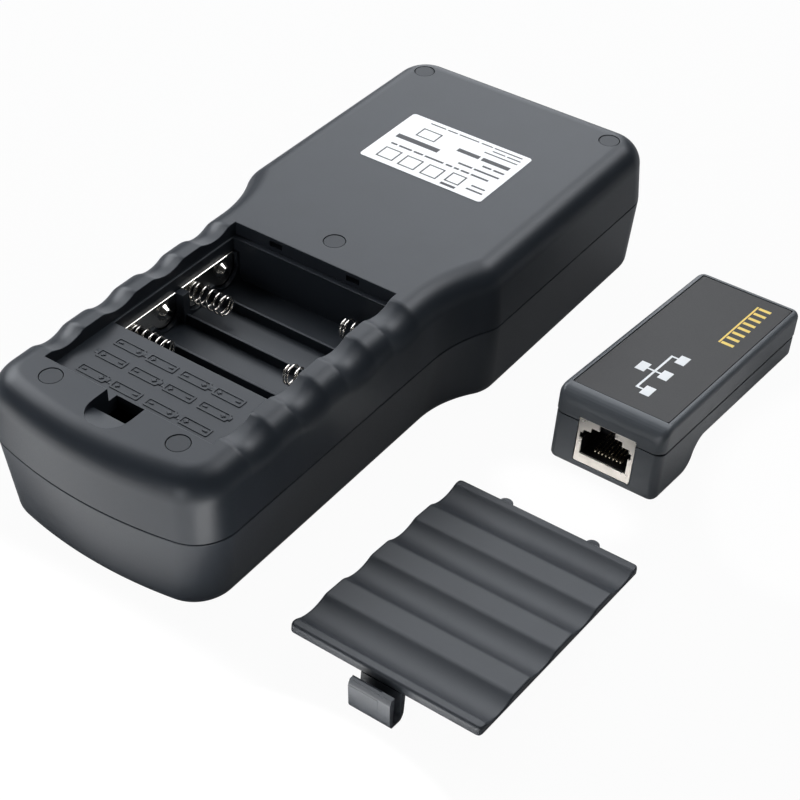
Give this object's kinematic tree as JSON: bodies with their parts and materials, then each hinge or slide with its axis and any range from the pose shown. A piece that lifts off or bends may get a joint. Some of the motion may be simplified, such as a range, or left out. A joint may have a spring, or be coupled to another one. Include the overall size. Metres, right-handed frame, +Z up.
{
  "type": "network cable tester",
  "caption": "Hand-held network cable tester lying face down with its battery cover off beside it, and the remote terminator unit it works with.",
  "frame": {"origin": "middle of the tester's flat front face, which lies on the table", "axes": "+Z up from the table through the tester's back, +Y from the handle end towards the head and its sockets, +X across the tester towards the cover and the remote"},
  "size_m": [0.1428, 0.1849, 0.0401],
  "materials": {
    "shell_plastic": "satin moulded ABS, dark slate grey",
    "plug_plastic": "matt plastic plugs, shell colour",
    "label_paper": "white printed paper label, matt film",
    "contact_nickel": "nickel-plated spring steel",
    "screw_steel": "zinc-plated steel",
    "board_laminate": "green solder-masked glass-fibre laminate",
    "chip_plastic": "black epoxy package",
    "display_panel": "grey-green display module",
    "window_plastic": "clear polycarbonate pane",
    "mat_rubber": "grey silicone keypad",
    "key_plastic": "moulded grey keys",
    "shield_metal": "tin-plated stamped sheet",
    "insert_plastic": "black moulded jack insert",
    "pin_gold": "gold-flashed contact wire",
    "lead_sheath": "red insulated hook-up wire",
    "overlay_film": "warm dark grey printed film"
  },
  "bodies": {
    "tester": {"back_shell": "shell_plastic", "front_shell": "shell_plastic", "screw_plugs": "plug_plastic", "case_screws": "screw_steel", "rear_label": "label_paper", "first_left_contact": "contact_nickel", "second_left_contact": "contact_nickel", "right_bridge_contact": "contact_nickel", "negative_terminal": "contact_nickel", "positive_terminal": "contact_nickel", "first_spring": "contact_nickel", "second_spring": "contact_nickel", "third_spring": "contact_nickel", "fourth_spring": "contact_nickel", "battery_leads": "lead_sheath", "main_board": "board_laminate", "controller_chip": "chip_plastic", "driver_chips": "chip_plastic", "lcd_module": "display_panel", "display_window": "window_plastic", "keypad_mat": "mat_rubber", "main_jack_shield": "shield_metal", "main_jack_insert": "insert_plastic", "main_jack_pins": "pin_gold", "loop_jack_shield": "shield_metal", "loop_jack_insert": "insert_plastic", "loop_jack_pins": "pin_gold"},
    "cover": {"battery_cover": "shell_plastic"},
    "latch": {"cover_latch": "shell_plastic"},
    "remote": {"remote_upper_shell": "shell_plastic", "remote_lower_shell": "shell_plastic", "remote_overlay": "overlay_film", "remote_board": "board_laminate", "remote_network": "chip_plastic", "remote_jack_shield": "shield_metal", "remote_jack_insert": "insert_plastic", "remote_jack_pins": "pin_gold", "remote_screws": "screw_steel"},
    "power_key": {"power_key": "key_plastic"},
    "up_key": {"up_key": "key_plastic"},
    "down_key": {"down_key": "key_plastic"},
    "test_key": {"test_key": "key_plastic"}
  },
  "joints": [
    {"name": "cover_lift", "type": "slide", "parent": "tester", "child": "cover", "axis": [0, 0, 1], "range_m": [0, 0.06]},
    {"name": "latch_flex", "type": "hinge", "parent": "cover", "child": "latch", "pos_m": [0.07801, -0.08669, 0.0026], "axis": [-1, -0.0087, 0], "range_deg": [0, 12], "stiffness_Nm_per_rad": 0.06},
    {"name": "remote_lift", "type": "slide", "parent": "tester", "child": "remote", "axis": [0, 0, 1], "range_m": [0, 0.06]},
    {"name": "power_key_press", "type": "slide", "parent": "tester", "child": "power_key", "axis": [0, 0, 1], "range_m": [0, 0.0008], "stiffness_N_per_m": 600},
    {"name": "up_key_press", "type": "slide", "parent": "tester", "child": "up_key", "axis": [0, 0, 1], "range_m": [0, 0.0008], "stiffness_N_per_m": 600},
    {"name": "down_key_press", "type": "slide", "parent": "tester", "child": "down_key", "axis": [0, 0, 1], "range_m": [0, 0.0008], "stiffness_N_per_m": 600},
    {"name": "test_key_press", "type": "slide", "parent": "tester", "child": "test_key", "axis": [0, 0, 1], "range_m": [0, 0.0008], "stiffness_N_per_m": 600}
  ]
}
